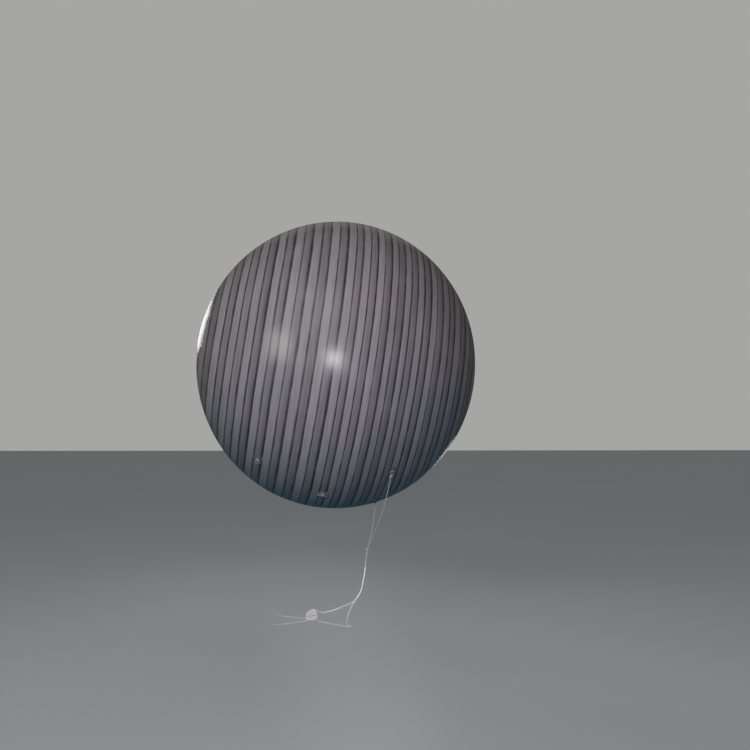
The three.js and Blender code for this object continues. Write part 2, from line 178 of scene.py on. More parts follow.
class BALLOON_PG_cords(bpy.types.PropertyGroup):
    """The two cords."""

    diameter: length_setting("Diameter", "Thickness of a cord", 0.004)
    back_length: length_setting("Back cord", "Length of the cord from the right back ring", 2.97)
    front_length: length_setting("Front cord", "Length of the cord from the right front ring", 2.74)
    pitch: length_setting("Braid pitch", "Length of one turn of the braid", 0.016)
    colour: colour_setting("Cord", "the cord", (0.88, 0.87, 0.90))


class BALLOON_PG_stage(bpy.types.PropertyGroup):
    """Floor, sky and studio lights."""

    floor: colour_setting("Floor", "the floor", (0.33, 0.365, 0.38))
    floor_glow: share_setting("Floor glow", "Light that the floor gives off itself, to look even", 0.20)
    backdrop: colour_setting("Backdrop", "the plain backdrop", (0.46, 0.47, 0.45))
    fill: colour_setting("Fill", "the light from all round, and its strength", (0.078, 0.072, 0.063))
    low_fill: colour_setting("Low fill", "the light from below, and its strength", (0.042, 0.080, 0.102))
    front_power: power_setting("Front", "small light over the camera", 95)
    window_power: power_setting("Window", "soft light at the left front", 32)
    high_power: power_setting("High", "large soft light high at the front", 27.5)
    right_power: power_setting("Right", "soft light on the right", 8)
    top_power: power_setting("Top", "soft light above and behind", 7)
    rim_power: power_setting("Rim", "soft light behind on the left", 19)
    low_power: power_setting("Low", "soft light low behind on the right", 0.2)
    cord_power: power_setting("Cord", "narrow light low at the front, on the cords", 2.0)
    back_strength: share_setting("Back light", "Strength of the wide light from behind, unmirrored", 0.9, 100)


def turning(x, y, z):
    """Three by three rotation: a turn about X, then about Y, then about Z."""
    (cx, sx), (cy, sy), (cz, sz) = ((math.cos(a), math.sin(a)) for a in (x, y, z))
    about_x = np.array([[1, 0, 0], [0, cx, -sx], [0, sx, cx]])
    about_y = np.array([[cy, 0, sy], [0, 1, 0], [-sy, 0, cy]])
    about_z = np.array([[cz, -sz, 0], [sz, cz, 0], [0, 0, 1]])
    return about_z @ about_y @ about_x


OWN_AXES = turning(LEAN, DIP, TURN)


def one_long(vectors):
    """Each vector divided by its own length."""
    return vectors / np.linalg.norm(vectors, axis=-1, keepdims=True)


def leaned(azimuth, polar, wide, tall):
    """wide sin p cos a, wide sin p sin a, tall cos p in the row frame, for azimuth a and polar angle p."""
    across = np.sin(polar) * wide
    own = np.broadcast_arrays(across * np.cos(azimuth), across * np.sin(azimuth), np.cos(polar) * tall)
    return np.stack(own, -1) @ OWN_AXES.T


def film_normal(azimuth, polar):
    """Outward direction of the film: leaned by one over each radius, at the equator and at the poles."""
    return one_long(leaned(azimuth, polar, 1 / EQUATOR_RADIUS, 1 / POLE_RADIUS))


def film_point(azimuth, polar, height):
    """Point over the film: leaned by the two radii, plus height normals."""
    foot = leaned(azimuth, polar, EQUATOR_RADIUS, POLE_RADIUS)
    return foot + np.asarray(height)[..., None] * film_normal(azimuth, polar)


def film_relief(azimuth, polar, film):
    """Height of the film over its even shape.

    With w the share of the way from one seam to the next and s the sine of the polar angle, a gore's crown is
    4 w (1 - w) s cubed bulges high. Ripples run along each seam as the product of a short and a long sine of
    the distance from the crown, and fade with the distance from the seam. Round each pole disc there are
    radial ripples, a cosine of the azimuth, that fade with the distance from the disc.
    """
    short, long, seam_fade = 0.0175, 0.081, 0.035
    spokes, disc_fade = 36, 0.05
    seam = (azimuth - FIRST_SEAM) / GORE_SPAN
    share = seam % 1
    wide = np.sin(polar)
    crown = film.bulge * 4 * share * (1 - share) * wide**3
    beside = np.minimum(share, 1 - share) * GORE_SPAN * EQUATOR_RADIUS * wide
    run = polar * EQUATOR_RADIUS
    phase = 1.7 * np.round(seam)
    along = np.sin(run / short + phase) * np.sin(run / long + 2.1 * phase) * np.exp(-beside / seam_fade)
    from_disc = np.maximum(np.minimum(polar, math.pi - polar) - POLE_EDGE, 0)
    round_disc = np.cos(spokes * azimuth) * np.exp(-from_disc / disc_fade)
    return crown + film.pucker * (along + round_disc)


def run_of(line):
    """The length of a line from its first point to each point."""
    return np.concatenate([[0], np.cumsum(np.linalg.norm(np.diff(line, axis=0), axis=1))])


def smooth_line(points, step, samples=12, soften=0):
    """Smooth curve through points, at even steps.

    Each point has a time, the square root of the distance later than the last. A stretch blends its ends and
    their neighbours in straight lines over those times: three of neighbours, two of those three, then one.
    Past each end a neighbour is mirrored. To soften is to move each inner point, so many times, to a quarter,
    half, quarter mean of it and its neighbours.
    """
    p = np.asarray(points, float)
    p = np.vstack([2 * p[0] - p[1], p, 2 * p[-1] - p[-2]])
    knots = np.concatenate([[0], np.cumsum(np.sqrt(np.linalg.norm(np.diff(p, axis=0), axis=1)))])
    t = [knots[k : len(knots) - 3 + k, None, None] for k in range(4)]
    q = [p[k : len(p) - 3 + k, None, :] for k in range(4)]
    u = t[1] + (t[2] - t[1]) * np.linspace(0, 1, samples, endpoint=False)[None, :, None]

    def between(a, b, low, high):
        return a + (b - a) * (u - low) / (high - low)

    first = [between(q[k], q[k + 1], t[k], t[k + 1]) for k in range(3)]
    second = [between(first[k], first[k + 1], t[k], t[k + 2]) for k in range(2)]
    line = np.vstack([between(second[0], second[1], t[1], t[2]).reshape(-1, 3), p[-2]])
    run = run_of(line)
    at = np.linspace(0, run[-1], max(3, int(round(run[-1] / step)) + 1))
    even = np.stack([np.interp(at, run, line[:, k]) for k in range(3)], -1)
    for _ in range(soften):
        even[1:-1] = (even[:-2] + 2 * even[1:-1] + even[2:]) / 4
    return even


def carried_frames(line):
    """A sideways and an upward direction at each point of a line, carried along it without twist.

    The least rotation from each tangent to the next is I + K + K K / (1 + c), where K is the cross-product
    matrix of their cross product and c their dot product. The product of all rotations up to each point comes
    from doubling: each pass multiplies every matrix by the one twice as far back.
    """
    tangent = one_long(np.gradient(line, axis=0))
    turn = np.cross(tangent[:-1], tangent[1:])
    cosine = np.sum(tangent[:-1] * tangent[1:], axis=1)
    k = np.zeros((len(turn), 3, 3))
    k[:, 0, 1], k[:, 0, 2], k[:, 1, 2] = -turn[:, 2], turn[:, 1], -turn[:, 0]
    k -= np.swapaxes(k, 1, 2)
    steps = np.concatenate([np.eye(3)[None], np.eye(3) + k + k @ k / (1 + cosine)[:, None, None]])
    back = 1
    while back < len(steps):
        steps = np.concatenate([steps[:back], steps[back:] @ steps[:-back]])
        back *= 2
    first = np.eye(3)[np.argmin(np.abs(tangent[0]))]
    side = one_long(np.cross(tangent[0], first))
    sides = one_long(steps @ side)
    return sides, np.cross(tangent, sides)


def grid_shell(points, ring=False, ends=None, along=None, around=None):
    """A closed surface from a grid of points, as arrays: points, corners, face sizes and each corner's UV.

    The face between rows i, i + 1 and columns j, j + 1 has those four corners, and the last column joins the
    first. ring joins the last row to the first too. ends are two points, or "flat" for one face over the end
    row. around and along are the columns' and the rows' UV. The sum of a . (b x c) over the triangles, from
    the mean point, is six times the volume. Below nought the faces point inwards, and they are turned round.
    """
    rows, columns = points.shape[:2]
    if along is None:
        along = np.linspace(0, 1, rows + 1)
    else:
        along = np.append(along, 2 * along[-1] - along[-2])
    around = np.linspace(0, 1, columns + 1) if around is None else around
    r = np.arange(rows if ring else rows - 1)[:, None, None] + np.array([0, 0, 1, 1])
    c = np.arange(columns)[None, :, None] + np.array([0, 1, 1, 0])
    quads = (r % rows) * columns + c % columns
    uv = np.stack(np.broadcast_arrays(around[c], along[r]), -1)
    flat = points.reshape(-1, 3)
    corners, uvs = [quads.reshape(-1)], [uv.reshape(-1, 2)]
    sizes = [np.full(quads.size // 4, 4)]
    for row, end in zip((0, rows - 1), ends or ()):
        edge = row * columns + np.arange(columns)
        edge = edge[::-1] if row == 0 else edge
        if isinstance(end, str):
            corners.append(edge)
            sizes.append(np.array([columns]))
        else:
            tip = np.full(columns, len(flat))
            flat = np.vstack([flat, end])
            corners.append(np.stack([edge, np.roll(edge, -1), tip], -1).reshape(-1))
            sizes.append(np.full(columns, 3))
        uvs.append(np.tile([around[0], along[row]], (len(corners[-1]), 1)))
    corners, sizes, uvs = np.concatenate(corners), np.concatenate(sizes), np.concatenate(uvs)
    q = flat[quads.reshape(-1, 4)] - flat.mean(0)
    volume = np.sum(q[:, 0] * np.cross(q[:, 1], q[:, 2])) + np.sum(q[:, 0] * np.cross(q[:, 2], q[:, 3]))
    if volume < 0:
        corners, sizes, uvs = corners[::-1], sizes[::-1], uvs[::-1]
    return flat, corners, sizes, uvs


def tube_shell(line, radius, sides=12, upward=None):
    """A round tube along a line: centre + radius (cos v side + sin v up), closed at both ends.

    Its UV is the share of the way round and the metres along. Where upward is given, the direction square to
    a flat line, the tube is closed into a ring instead.
    """
    ring = upward is not None
    if ring:
        up = np.broadcast_to(upward, line.shape)
        side = one_long(np.cross(np.roll(line, -1, axis=0) - np.roll(line, 1, axis=0), up))
    else:
        side, up = carried_frames(line)
    angle = np.linspace(0, 2 * math.pi, sides, endpoint=False)[None, :, None]
    size = np.broadcast_to(np.asarray(radius, float), (len(line),))[:, None, None]
    points = line[:, None] + size * (np.cos(angle) * side[:, None] + np.sin(angle) * up[:, None])
    return grid_shell(points, ring=ring, ends=None if ring else ("flat", "flat"), along=run_of(line))


def put_object(name, data):
    """A new object in the scene, at the origin."""
    made = bpy.data.objects.new(name, data)
    bpy.context.scene.collection.objects.link(made)
    return made


def put_piece(name, shells, finish, stands_for=(), crease=40, body="envelope"):
    """Puts closed surfaces into one mesh, smooth except over edges sharper than the crease, on a CAD body."""
    points, corners, sizes, uvs = zip(*shells)
    starts = np.cumsum([0] + [len(part) for part in points])
    corners = np.concatenate([part + first for part, first in zip(corners, starts)])
    points, sizes, uvs = np.concatenate(points), np.concatenate(sizes), np.concatenate(uvs)
    mesh = bpy.data.meshes.new(name)
    mesh.vertices.add(len(points))
    mesh.vertices.foreach_set("co", points.astype(np.float32).ravel())
    mesh.loops.add(len(corners))
    mesh.loops.foreach_set("vertex_index", corners.astype(np.int32))
    mesh.polygons.add(len(sizes))
    mesh.polygons.foreach_set("loop_start", np.concatenate([[0], np.cumsum(sizes)[:-1]]).astype(np.int32))
    mesh.uv_layers.new(name="cut").data.foreach_set("uv", uvs.astype(np.float32).ravel())
    mesh.update(calc_edges=True)
    if mesh.validate():
        raise RuntimeError(f"the mesh of {name} had faults")
    mesh.shade_smooth()
    mesh.set_sharp_from_angle(angle=math.radians(crease))
    mesh.materials.append(finish)
    piece = put_object(name, mesh)
    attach(piece, body)
    if stands_for:
        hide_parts(*stands_for)
    return piece


def math_with(operation):
    """An operator of a wire: it adds the Math node of that operation."""
    return lambda wire, *others: wire.math(operation, *others)


class Wire:
    """One output socket. Sums with it add Math nodes, so that a finish reads as a formula."""

    def __init__(self, finish, socket):
        self.finish, self.socket = finish, socket

    def math(self, operation, *others):
        return self.finish.node("ShaderNodeMath", {"operation": operation}, dict(enumerate((self, *others))))

    def __rsub__(self, other):
        return self.finish.node("ShaderNodeMath", {"operation": "SUBTRACT"}, {0: other, 1: self})

    __add__ = __radd__ = math_with("ADD")
    __sub__ = math_with("SUBTRACT")
    __mul__ = __rmul__ = math_with("MULTIPLY")
    __truediv__ = math_with("DIVIDE")
    __mod__ = math_with("FLOORED_MODULO")
    __abs__ = math_with("ABSOLUTE")

    def wave(self, length=1):
        """A sine that repeats after each such length."""
        return (self * (2 * math.pi / length)).math("SINE")

    def rise(self, low, high):
        """From nought at low to one at high, smoothly."""
        sockets = {"Value": self, 1: low, 2: high}
        return self.finish.node("ShaderNodeMapRange", {"interpolation_type": "SMOOTHSTEP"}, sockets)


class Finish:
    """The nodes of a material, or of the world, which end in one shader.

    A material's place is its Object coordinates, the row frame's, because every piece sits at the origin.
    """

    def __init__(self, name, kind="materials"):
        self.made = getattr(bpy.data, kind).new(name)
        self.made.use_nodes = True
        self.tree = self.made.node_tree
        self.tree.nodes.clear()
        self.place = self.node("ShaderNodeTexCoord", output="Generated" if kind == "worlds" else "Object")

    def node(self, kind, settings=None, sockets=None, output=0):
        """Adds a node: its settings first, then a value or a wire for each socket, by name or by place."""
        made = self.tree.nodes.new(kind)
        for key, value in (settings or {}).items():
            setattr(made, key, value)
        open_ones = [s for s in made.inputs if s.enabled]
        for key, value in (sockets or {}).items():
            into = open_ones[key] if isinstance(key, int) else next(s for s in open_ones if s.name == key)
            if isinstance(value, Wire):
                self.tree.links.new(value.socket, into)
            else:
                into.default_value = value
        outs = [s for s in made.outputs if s.enabled]
        return Wire(self, outs[output] if isinstance(output, int) else made.outputs[output])

    def cut(self):
        """The piece's own map: round or across it, and along it."""
        return self.parts(self.node("ShaderNodeUVMap", {"uv_map": "cut"}))[:2]

    def parts(self, vector):
        return [self.node("ShaderNodeSeparateXYZ", None, {0: vector}, output=k) for k in range(3)]

    def noise(self, scale, detail=2.0, roughness=0.5, finer=None):
        """Noise round nought, from about -0.5 to 0.5, made finer along X, Y and Z where that is given."""
        place = self.place
        if finer:
            place = self.node("ShaderNodeMapping", None, {"Vector": place, "Scale": finer})
        sockets = {"Vector": place, "Scale": scale, "Detail": detail, "Roughness": roughness}
        return self.node("ShaderNodeTexNoise", None, sockets) - 0.5

    def chance(self, number):
        """A value from 0 to 1 that belongs to each whole number."""
        return self.node("ShaderNodeTexWhiteNoise", {"noise_dimensions": "1D"}, {"W": number})

    def mix(self, first, second, share):
        first, second = (c if isinstance(c, Wire) else (*c, 1) for c in (first, second))
        return self.node("ShaderNodeMix", {"data_type": "RGBA"}, {"Factor": share, "A": first, "B": second})

    def lit(self, colour, factor):
        """A colour times a number."""
        if not isinstance(colour, Wire):
            colour = self.mix(colour, colour, 0.0)
        return self.node("ShaderNodeVectorMath", {"operation": "SCALE"}, {"Vector": colour, "Scale": factor})

    def raised(self, height, depth):
        """A normal from a height of 0 to 1 that stands for that depth in metres."""
        return self.node("ShaderNodeBump", None, {"Strength": 1.0, "Distance": depth, "Height": height})

    def ended(self, shader, output):
        """The material or the world, its last shader joined to its output."""
        self.tree.links.new(shader.socket, self.tree.nodes.new(output).inputs["Surface"])
        return self.made

    def done(self, colour, **sockets):
        """The material, ended with a Principled shader. An underscore is a blank in a socket's name."""
        named = {name.replace("_", " "): value for name, value in sockets.items()}
        shader = self.node("ShaderNodeBsdfPrincipled", None, {"Base Color": colour, **named})
        return self.ended(shader, "ShaderNodeOutputMaterial")


# The print in metres across the balloon: its first edge, the middle and the reach of a swell that widens the
# boards left of it and narrows those right of it, the boards it amounts to, and the number of a darker joint
FIRST_EDGE = -1.6291
SWELL_MIDDLE, SWELL_REACH = -0.007, 0.3575
SWELL_BOARDS = 0.884
STRONG_JOINT = 21


def printed_film(film):
    """Glossy film printed with upright weathered boards, on planes of the balloon's own X.

    The board number is (x - first edge) / width, less a swell of exp(-u u) with u = (x - middle) / reach, and
    with a slight drift from board to board and a waver along them. Odd boards are light and even ones dark,
    each a little off its tone, and each darkens towards its far edge, the dark ones more. Round each whole
    number lies a dark joint, worn in places, soft on the board before it and sharper on the one after it.
    Long streaks of grain and large faint clouds lie over it all, and each seam has a fine hatched weld.
    """
    f = Finish("printed_film")
    lean = {"Vector": f.place, "Rotation": (LEAN, DIP, TURN)}
    f.place = f.node("ShaderNodeMapping", {"vector_type": "TEXTURE"}, lean)
    x, y, z = f.parts(f.place)
    from_middle = (x - SWELL_MIDDLE) / SWELL_REACH
    swell = (from_middle * from_middle * -1).math("EXPONENT")
    sockets = {"W": x, "Scale": 11.0, "Detail": 1.0}
    drift = f.node("ShaderNodeTexNoise", {"noise_dimensions": "1D"}, sockets) - 0.5
    waver = f.noise(2.2) * 0.12 + f.noise(13) * 0.06
    boards = (x - FIRST_EDGE) / film.board_width - swell * SWELL_BOARDS + drift * 0.3 + waver
    number = boards.math("FLOOR")
    across = boards - number
    light = number % 2
    joint_number = (boards + 0.5).math("FLOOR")
    strong = joint_number.math("COMPARE", STRONG_JOINT, 0.1)
    wear = f.noise(7, 3)
    wide = (f.chance(joint_number + 0.37) * 0.5 + 0.75 + strong * 0.2 + wear * 0.9) * film.joint_width
    soft = wide * (1.75 - light * 0.55)
    past, before = across * film.board_width, (1 - across) * film.board_width
    lined = (1 - past.rise(wide * 0.25, wide)).math("MAXIMUM", 1 - before.rise(wide * 0.1, soft))
    depth = f.chance(joint_number + 0.11) * 0.2 + 0.80 + strong * 0.15 + wear * 0.5
    joint = lined * depth.math("MINIMUM", 1)
    streak = f.noise(1, 3, 0.6, finer=(105, 4, 4))
    grain = f.noise(1, 4, 0.65, finer=(420, 3, 3))
    cloud = f.noise(5, 3, 0.6)
    shade = (1 - light) * (f.chance(number + 0.73) * 0.3 + 0.22) + light * 0.07
    tone = 1 + (f.chance(number + 0.5) - 0.5) * 0.18 - (across - 0.5) * shade
    tone = tone + streak * 0.70 + grain * 0.50 + cloud * 0.16
    colour = f.lit(f.mix(film.dark_board, film.light_board, light), tone)
    tint = f.noise(3.1, 3, 0.6).rise(-0.22, 0.22)
    cooler = f.node("ShaderNodeVectorMath", {"operation": "MULTIPLY"}, {0: colour, 1: film.cool})
    colour = f.mix(colour, cooler, tint)
    colour = f.mix(colour, film.joint, joint)
    round_pole = (x * x + y * y).math("SQRT")
    past_seam = ((y.math("ARCTAN2", x) - FIRST_SEAM) / GORE_SPAN % 1) * GORE_SPAN * round_pole
    weld = past_seam.rise(0.0, 0.0008) * (1 - past_seam.rise(0.0115, 0.0125))
    hatch = z.wave(0.003) * round_pole.wave(0.003)
    height = f.noise(700, 2) * 0.5 + f.noise(60, 2) * 0.8 + weld * hatch * 0.15 + 0.5
    roughness = film.roughness + cloud * 0.08 + weld * 0.03 + joint * 0.03
    return f.done(colour, Roughness=roughness, Normal=f.raised(height, 0.00006), IOR=1.52)


def clear_film(fittings):
    """Clear film of the patches: mostly seen through, a little milky where it is welded round its edge."""
    f = Finish("clear_film")
    way, rim = f.cut()
    weld = rim.rise(0.84, 0.86) * (1 - rim.rise(0.94, 0.96))
    ribs = way.wave(1 / 90)
    cloud = f.noise(90, 3)
    colour = f.lit(fittings.patch, cloud * 0.5 + 1 + weld * 0.12)
    cover = fittings.patch_cover + cloud * 0.12 + weld * 0.22
    height = f.noise(500) + weld * ribs * 0.4 + 0.5
    roughness = 0.2 + cloud * 0.12 + weld * 0.1
    return f.done(colour, Roughness=roughness, Alpha=cover, Normal=f.raised(height, 0.00008), IOR=1.52)


def woven_strap(fittings):
    """Webbing: ribs across the width, each a row of rounded picks, with the tone of each rib a little off.

    A row of stitches in pale thread runs down each edge, and the hollows between the picks are painted
    darker, as shade.
    """
    f = Finish("woven_strap")
    across, along = f.cut()
    rib_width, pick, stitch = 0.0016, 0.0011, 0.0036
    warp, weft = across.wave(rib_width), along.wave(pick)
    edge = abs(across)
    dash = along.wave(stitch).rise(-0.5, -0.2)
    thread = edge.rise(0.0098, 0.0101) * (1 - edge.rise(0.0106, 0.0109)) * dash
    height = (warp * 0.5 + 0.5) * (weft * 0.4 + 0.6) * (1 - thread) + thread * 1.6
    rib = f.chance((across / rib_width).math("FLOOR"))
    # Painted shade: the tone is lighter on the raised picks and darker in the weave's hollows. Each rib's own
    # tone, a mottle and the pale thread are added on top.
    tone = height * 0.22 + 0.8 + (rib - 0.5) * 0.08 + f.noise(240, 3) * 0.3 + thread * 0.5
    colour = f.lit(fittings.strap, tone)
    return f.done(colour, Roughness=0.62 + f.noise(300) * 0.2, Normal=f.raised(height, 0.00025))


def ring_steel(fittings):
    """Plated wire: fine scratches, dull in patches."""
    f = Finish("ring_steel")
    dull = f.noise(160, 4, 0.65)
    scratch = f.noise(1, 3, finer=(900, 900, 120))
    colour = f.lit(fittings.steel, 1 + dull * 0.35)
    roughness = 0.44 + dull * 0.28 + scratch * 0.1
    return f.done(colour, Metallic=0.7, Roughness=roughness, Normal=f.raised(scratch + 0.5, 0.00004))


def valve_moulding(fittings):
    """Milky moulded plastic: clouds, faint flow marks and a fine spark texture."""
    f = Finish("valve_moulding")
    cloud = f.noise(70, 3, 0.6)
    spark = f.noise(1800, 2)
    flow = (f.noise(1, 2, finer=(30, 30, 160)) * 9).math("SINE")
    colour = f.lit(fittings.moulding, 1 + cloud * 0.22 + flow * 0.025)
    height = spark * 0.7 + flow * 0.15 + 0.5
    roughness = 0.56 + cloud * 0.16 + spark * 0.1
    return f.done(colour, Roughness=roughness, Normal=f.raised(height, 0.00007), IOR=1.49)


def braided_cord(cords):
    """White braid: two families of strands wind round opposite ways, and fine fibres blur them."""
    f = Finish("braided_cord")
    way, along = f.cut()
    strands, turns = way * 8, along / cords.pitch * 2
    weave = (strands + turns).wave().math("MAXIMUM", (strands - turns).wave()) * 0.5 + 0.5
    fibre = f.noise(1500, 3, 0.65)
    grime = f.noise(28, 3, 0.6)
    # Painted shade: the tone is lighter on the strands and darker in the grooves between them. Fibre and
    # grime add their own tone on top.
    colour = f.lit(cords.colour, weave * 0.20 + 0.84 + fibre * 0.2 + grime * 0.14)
    return f.done(colour, Roughness=0.82 + fibre * 0.2, Normal=f.raised(weave + fibre * 0.6, 0.0003))


def plain_floor(stage):
    """Pale matt floor with a faint unevenness, which gives off a little light."""
    f = Finish("plain_floor")
    cloud = f.noise(0.7, 3)
    colour = f.lit(stage.floor, 1 + cloud * 0.05)
    glow = {"Emission_Color": colour, "Emission_Strength": stage.floor_glow}
    return f.done(colour, Roughness=1.0, Specular_IOR_Level=0.0, **glow)


def tether(name):
    """Where a tether fitting sits: its foot on the film, the strap's eye, the point where a cord leaves its
    hitch and the way that it is pulled, and the X, Y and Z of the strap and of the ring.
    """
    azimuth, pulled_to = TETHERS[name]
    foot = film_point(math.radians(azimuth), TETHER_POLAR, 0.0)
    out = film_normal(math.radians(azimuth), TETHER_POLAR)
    eye = foot + EYE_HEIGHT * out
    pull = -UP if pulled_to is None else one_long(np.array(pulled_to) * MM - eye)
    across = one_long(np.cross(pull, out))
    strap = (across, np.cross(out, across), out)
    ring = (across, -pull, np.cross(across, -pull))
    leaves = eye + KNOT_BOTTOM * pull
    return {"foot": foot, "eye": eye, "leaves": leaves, "pull": pull, "strap": strap, "ring": ring}


def set_at(points, origin, axes):
    """Points in millimetres in a fitting's own frame, put in the row frame in metres."""
    return origin + (np.asarray(points, float) * MM) @ np.stack(axes)


def overhand(centre, size, axes, strands=1):
    """An overhand knot: the trefoil sin t + 2 sin 2t, cos t - 2 cos 2t, -sin 3t times a size in millimetres.

    A short gap leaves it open. A knot of two strands is two tubes, each a little under a radius to one side.
    """
    gap = 0.12
    t = np.linspace(gap, 2 * math.pi - gap, 110)
    line = size * np.stack([np.sin(t) + 2 * np.sin(2 * t), np.cos(t) - 2 * np.cos(2 * t), -np.sin(3 * t)], -1)
    sides, ups = carried_frames(line)
    shifts = [0] if strands == 1 else [-0.95, 0.95]
    lines = [line + shift * STRAND_RADIUS * ups for shift in shifts]
    return [tube_shell(set_at(one, centre, axes), STRAND_RADIUS * MM) for one in lines]


def hank_turns(turns, start_stop):
    """Points of a hank's turns, 18 to a turn, in metres.

    At turn t the strand is at H + r (1 - cos 2 pi t) f + r sin 2 pi t g. Here g is the level direction of the
    hinge line, f points from it at the turn's tilt, H is the hinge strand's place, and the tilt, the radius r
    and H change evenly from one whole turn to the next.
    """
    start, stop = start_stop
    t = np.linspace(start, stop, int(18 * (stop - start)))[:, None]
    columns = np.array(turns, float).T
    tilt, radius, behind, above = (np.interp(t, np.arange(len(turns)), column) for column in columns)
    level = np.cross(HANK_BACK, UP)
    tilt = np.radians(tilt)
    facing = np.cos(tilt) * HANK_BACK + np.sin(tilt) * UP
    first = np.array([*HANK_CENTRE, LAY_Z]) - HANK_RADIUS * HANK_BACK
    hinge = first + behind * HANK_BACK + above * UP
    turn = 2 * math.pi * t
    return (hinge + radius * (1 - np.cos(turn)) * facing + radius * np.sin(turn) * level) * MM


def pair_strand(which):
    """One strand of the pair: centre + r (cos a side + sin a up), where a makes four turns in a whole run.

    The winding stops before the lower knot, and r, a little over a cord's radius, swells over the knot.
    """
    turns, wound, first_angle = 4, 0.78, 0.6
    close, swell, knot_at, knot_reach = 0.0021, 0.0075, 0.86, 0.055
    centre = smooth_line(np.array(PAIR_RUN) * MM, 0.008, 16)
    side, up = carried_frames(centre)
    share = np.linspace(0, 1, len(centre))[:, None]
    apart = close + swell * np.exp(-(((share - knot_at) / knot_reach) ** 2))
    angle = 2 * math.pi * turns * np.minimum(share, wound) + math.pi * which + first_angle
    return centre + apart * (np.cos(angle) * side + np.sin(angle) * up)


def cord_line(place, drop, which, onward, turns, start_stop, tail):
    """A cord's whole centreline: off its ring, through both knots, down to the hank, round it and off it."""
    straight = [place["leaves"] + run * place["pull"] for run in (0, 0.008, 0.016)]
    before = [straight, np.array(drop[1:]) * MM, pair_strand(which), np.array(onward) * MM]
    way = np.concatenate([*before, hank_turns(turns, start_stop), np.array(tail) * MM])
    return smooth_line(way, CORD_STEP, soften=8)


class BALLOON_OT_camera(bpy.types.Operator):
    """Puts the camera where the picture was taken from."""

    bl_idname = "balloon.camera"
    bl_label = "Camera"

    def execute(self, context):
        upward, sideways = math.radians(4.2), math.radians(-2.70)
        lens = bpy.data.cameras.new("camera")
        lens.lens, lens.sensor_width, lens.sensor_fit = 38.8, 36, "HORIZONTAL"
        lens.clip_end = 200
        camera = put_object("camera", lens)
        camera.location = (0, -5.88, -0.51)
        camera.rotation_euler = (math.pi / 2 + upward, 0, sideways)
        context.scene.camera = camera
        return {"FINISHED"}


class BALLOON_OT_cords(bpy.types.Operator):
    """Makes the two cords, each one long tube, with their hitches and knots."""

    bl_idname = "balloon.cords"
    bl_label = "Cords, hitches and knots"

    def execute(self, context):
        cords = context.scene.balloon_cords
        finish = braided_cord(cords)
        front, back = tether("right_front"), tether("right_back")
        hitches = [self.hitch(place, name, finish) for name, place in (("front", front), ("back", back))]
        level = (np.array([1.0, 0, 0]), UP, np.array([0, -1.0, 0]))
        for name, centre, size in (("upper", UPPER_KNOT, 2.1), ("lower", LOWER_KNOT, 1.8)):
            knot = overhand(np.array(centre) * MM, size, level, strands=2)
            put_piece(f"{name}_cord_knot", knot, finish, [f"{name}_knot"])

        line = cord_line(back, BACK_DROP, 0, FLOOR_RUN, HANK_FLAT_TURNS, FLAT_TURNS, LONG_TAIL)
        ahead = one_long(line[-1] - line[-12])
        knot = overhand(line[-8] + 0.0022 * UP, 1.9, (ahead, np.cross(UP, ahead), UP))
        stopper = put_piece("end_cord_knot", knot, finish)
        whole = self.cord("back", line, cords, finish, ["cord_floor_run", "cord_long_tail"])

        line = cord_line(front, FRONT_DROP, 1, SLACK_RUN, HANK_STEEP_TURNS, STEEP_TURNS, SHORT_TAIL)
        whole = self.cord("front", line, cords, finish, ["cord_slack_run", "cord_short_tail"])
        return {"FINISHED"}

    def cord(self, name, line, cords, finish, low_nodes):
        """A cord as one tube along its centreline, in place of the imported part's lengths of it.

        Its radius is even, then swells to a little bead and rounds off at the tip, where the end was melted.
        """
        bead_at, bead_reach, bead, tip = 0.004, 0.003, 0.12, 0.003
        left = np.linspace(len(line) - 1, 0, len(line)) * CORD_STEP
        swollen = 1 + bead * np.exp(-(((left - bead_at) / bead_reach) ** 2))
        rounded = np.sqrt(np.clip(1 - (1 - left / tip).clip(0) ** 2 * 0.8, 0.05, 1))
        radius = cords.diameter / 2 * swollen * rounded
        nodes = [f"cord_right_{name}", "cord_pair", *low_nodes, "hank"]
        return put_piece(f"{name}_cord", [tube_shell(line, radius)], finish, nodes)

    def hitch(self, place, name, finish):
        """A cord's hitch on its ring: up from the knot, 1.6 turns round the bow and down, and a short end.

        Round the bow the strand is at x, bow + r cos a, r sin a, where x and the angle a grow evenly.
        """
        bow, radius = -BOW_CENTRE / MM, 4.15
        angle = np.radians(np.linspace(250, 830, 26))
        sideways = np.linspace(-3.0, 3.0, 26)
        round_bow = np.stack([sideways, bow + radius * np.cos(angle), radius * np.sin(angle)], -1)
        up, down = [(-0.6, -34, -0.4), (-2.2, -29.5, -2.6)], [(2.2, -29.5, 2.6), (0.6, -34, 0.4)]
        turn = smooth_line(np.concatenate([up, round_bow, down]), 0.6, 8, soften=2)
        stub = smooth_line([(0, -33, 2), (4, -36, 5), (7.5, -41, 6), (9, -46.5, 5)], 0.8, 8)
        at = (place["eye"], place["ring"])
        shells = [tube_shell(set_at(line, *at), STRAND_RADIUS * MM) for line in (turn, stub)]
        shells += overhand(set_at([0, -33.2, 0], *at), 1.35, place["ring"])
        return put_piece(f"{name}_cord_hitch", shells, finish, [f"hitch_right_{name}"])


